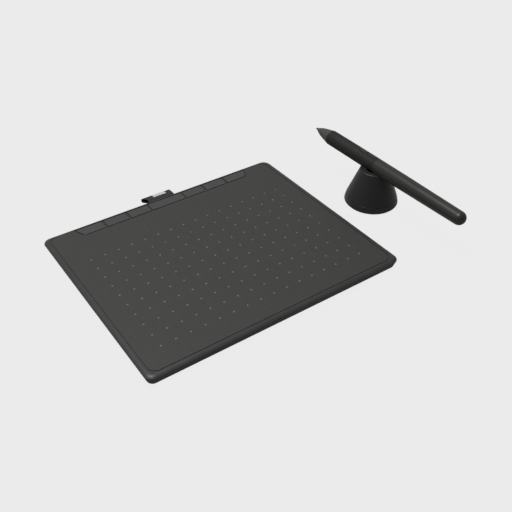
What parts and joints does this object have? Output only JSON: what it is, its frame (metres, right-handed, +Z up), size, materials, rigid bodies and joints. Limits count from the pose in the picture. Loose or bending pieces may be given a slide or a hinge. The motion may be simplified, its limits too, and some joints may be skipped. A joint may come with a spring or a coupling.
{
  "type": "graphics tablet",
  "caption": "Thin pen tablet: film drawing surface, back strip of press keys, fabric pen loop, and a battery-free pen with side buttons lying across its flared round stand.",
  "frame": {"origin": "on the desk plane under the middle of the whole set's outline, tablet, pen and stand together", "axes": "+X to the right along the tablet's long side, +Y to the back towards the key strip and the pen loop, +Z up"},
  "size_m": [0.2619, 0.191, 0.0393],
  "materials": {
    "case_plastic": "fine matte grain",
    "film": "matte, slightly toothy writing film",
    "key_plastic": "smooth matte",
    "foot_rubber": "soft matte rubber",
    "circuit_board": "solder resist",
    "chip_epoxy": "moulded epoxy",
    "steel": "satin steel",
    "screw_steel": "black zinc",
    "flex_film": "polyimide",
    "socket_metal": "plated",
    "webbing": "woven webbing",
    "pen_plastic": "satin",
    "nose_plastic": "satin",
    "grip_rubber": "soft touch",
    "button_plastic": "semi gloss",
    "nib_plastic": "smooth",
    "ferrite": "sintered",
    "copper": "enamelled wire",
    "stand_plastic": "satin"
  },
  "bodies": {
    "tablet": {"top_cover": "case_plastic", "drawing_film": "film", "bottom_cover": "case_plastic", "case_screws": "screw_steel", "foot_front_left": "foot_rubber", "foot_front_right": "foot_rubber", "foot_back_left": "foot_rubber", "foot_back_right": "foot_rubber", "centre_block": "key_plastic", "key_switches": "chip_epoxy", "sensor_board": "circuit_board", "shield_plate": "steel", "main_board": "circuit_board", "board_chips": "chip_epoxy", "flex_connector": "chip_epoxy", "flat_flex": "flex_film", "usb_socket": "socket_metal", "pen_loop": "webbing", "loop_clamp": "steel"},
    "key_1": {"key_1": "key_plastic"},
    "key_2": {"key_2": "key_plastic"},
    "key_3": {"key_3": "key_plastic"},
    "key_4": {"key_4": "key_plastic"},
    "key_5": {"key_5": "key_plastic"},
    "key_6": {"key_6": "key_plastic"},
    "stand": {"stand_shell": "stand_plastic"},
    "stand_foot": {"stand_base": "stand_plastic", "stand_pad": "foot_rubber", "stand_weight": "steel", "nib_rack": "stand_plastic", "spare_nibs": "nib_plastic", "nib_puller": "steel"},
    "pen": {"nose_cone": "nose_plastic", "front_tube": "pen_plastic", "grip_sleeve": "grip_rubber", "rear_barrel": "pen_plastic", "pen_frame": "pen_plastic", "ferrite_core": "ferrite", "pickup_coil": "copper", "pressure_sensor": "ferrite", "pen_board": "circuit_board", "pen_switches": "chip_epoxy"},
    "nib": {"nib": "nib_plastic", "nib_holder": "pen_plastic"},
    "side_button_front": {"side_button_front": "button_plastic"},
    "side_button_rear": {"side_button_rear": "button_plastic"}
  },
  "joints": [
    {"name": "key_1_press", "type": "slide", "parent": "tablet", "child": "key_1", "axis": [0, 0, -1], "range_m": [0, 0.0004], "stiffness_N_per_m": 1500},
    {"name": "key_2_press", "type": "slide", "parent": "tablet", "child": "key_2", "axis": [0, 0, -1], "range_m": [0, 0.0004], "stiffness_N_per_m": 1500},
    {"name": "key_3_press", "type": "slide", "parent": "tablet", "child": "key_3", "axis": [0, 0, -1], "range_m": [0, 0.0004], "stiffness_N_per_m": 1500},
    {"name": "key_4_press", "type": "slide", "parent": "tablet", "child": "key_4", "axis": [0, 0, -1], "range_m": [0, 0.0004], "stiffness_N_per_m": 1500},
    {"name": "key_5_press", "type": "slide", "parent": "tablet", "child": "key_5", "axis": [0, 0, -1], "range_m": [0, 0.0004], "stiffness_N_per_m": 1500},
    {"name": "key_6_press", "type": "slide", "parent": "tablet", "child": "key_6", "axis": [0, 0, -1], "range_m": [0, 0.0004], "stiffness_N_per_m": 1500},
    {"name": "stand_lift", "type": "slide", "parent": "tablet", "child": "stand", "axis": [0, 0, 1], "range_m": [0, 0.1]},
    {"name": "stand_base_turn", "type": "hinge", "parent": "stand", "child": "stand_foot", "pos_m": [0.10975, -0.00574, 0.006], "axis": [0, 0, 1], "range_deg": [0, 30]},
    {"name": "pen_lift", "type": "slide", "parent": "stand", "child": "pen", "axis": [0, 0, 1], "range_m": [0, 0.12]},
    {"name": "nib_press", "type": "slide", "parent": "pen", "child": "nib", "axis": [0, -1, 0], "range_m": [0, 0.0004], "stiffness_N_per_m": 1500},
    {"name": "side_button_front_press", "type": "slide", "parent": "pen", "child": "side_button_front", "axis": [0, 0, -1], "range_m": [0, 0.0003], "stiffness_N_per_m": 1500},
    {"name": "side_button_rear_press", "type": "slide", "parent": "pen", "child": "side_button_rear", "axis": [0, 0, -1], "range_m": [0, 0.0003], "stiffness_N_per_m": 1500}
  ]
}
